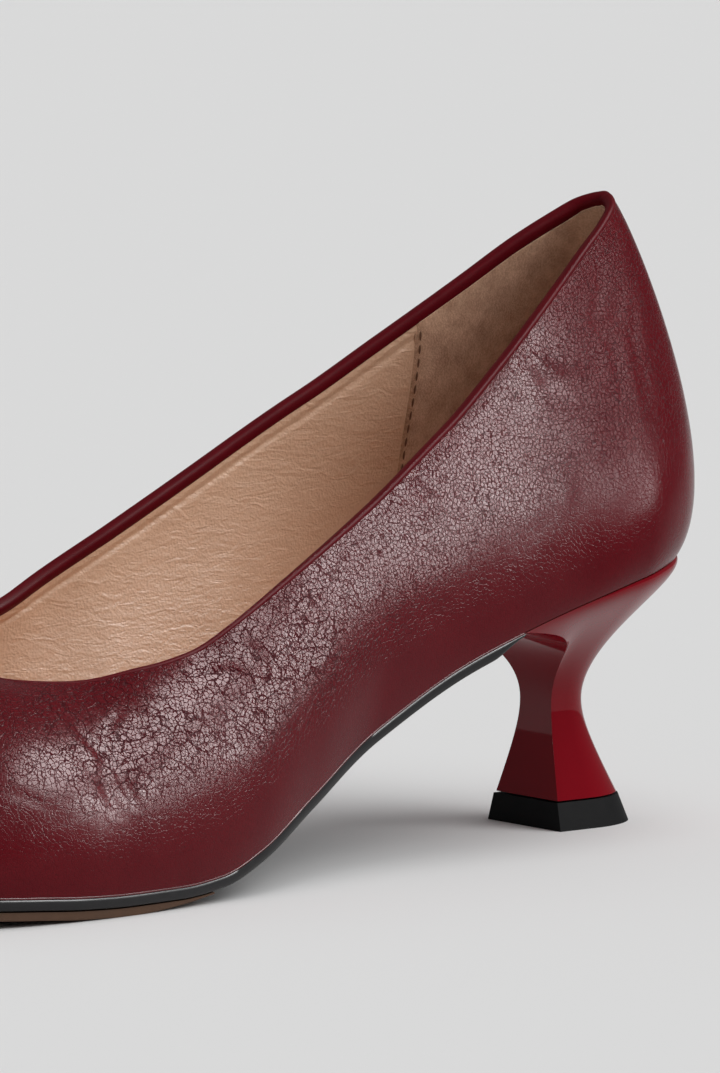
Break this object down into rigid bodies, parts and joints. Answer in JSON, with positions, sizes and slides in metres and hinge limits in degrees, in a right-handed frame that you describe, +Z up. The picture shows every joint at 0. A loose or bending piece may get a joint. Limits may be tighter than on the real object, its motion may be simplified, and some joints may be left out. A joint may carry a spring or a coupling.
{
  "type": "kitten heel pump",
  "caption": "Low-cut pump with a softly pointed toe, hollow leather upper, thin sole and a waisted spool heel on a flared top piece.",
  "frame": {"origin": "middle of the heel's rest face, on the floor", "axes": "+X to the toe, +Y to the outer side of the left foot, +Z up"},
  "size_m": [0.2463, 0.0777, 0.1069],
  "materials": {
    "upper_leather": "glossy shrunken grain, burgundy",
    "sock_leather": "matt nude lining leather",
    "edge_paint": "glossy black edge finish",
    "sole_leather": "matt tan",
    "heel_lacquer": "cherry lacquer",
    "top_piece_rubber": "semi-matt black"
  },
  "bodies": {
    "root": {"upper": "upper_leather", "insole": "sock_leather", "outsole": "edge_paint", "tread": "sole_leather", "heel": "heel_lacquer", "top_piece": "top_piece_rubber"}
  },
  "joints": []
}
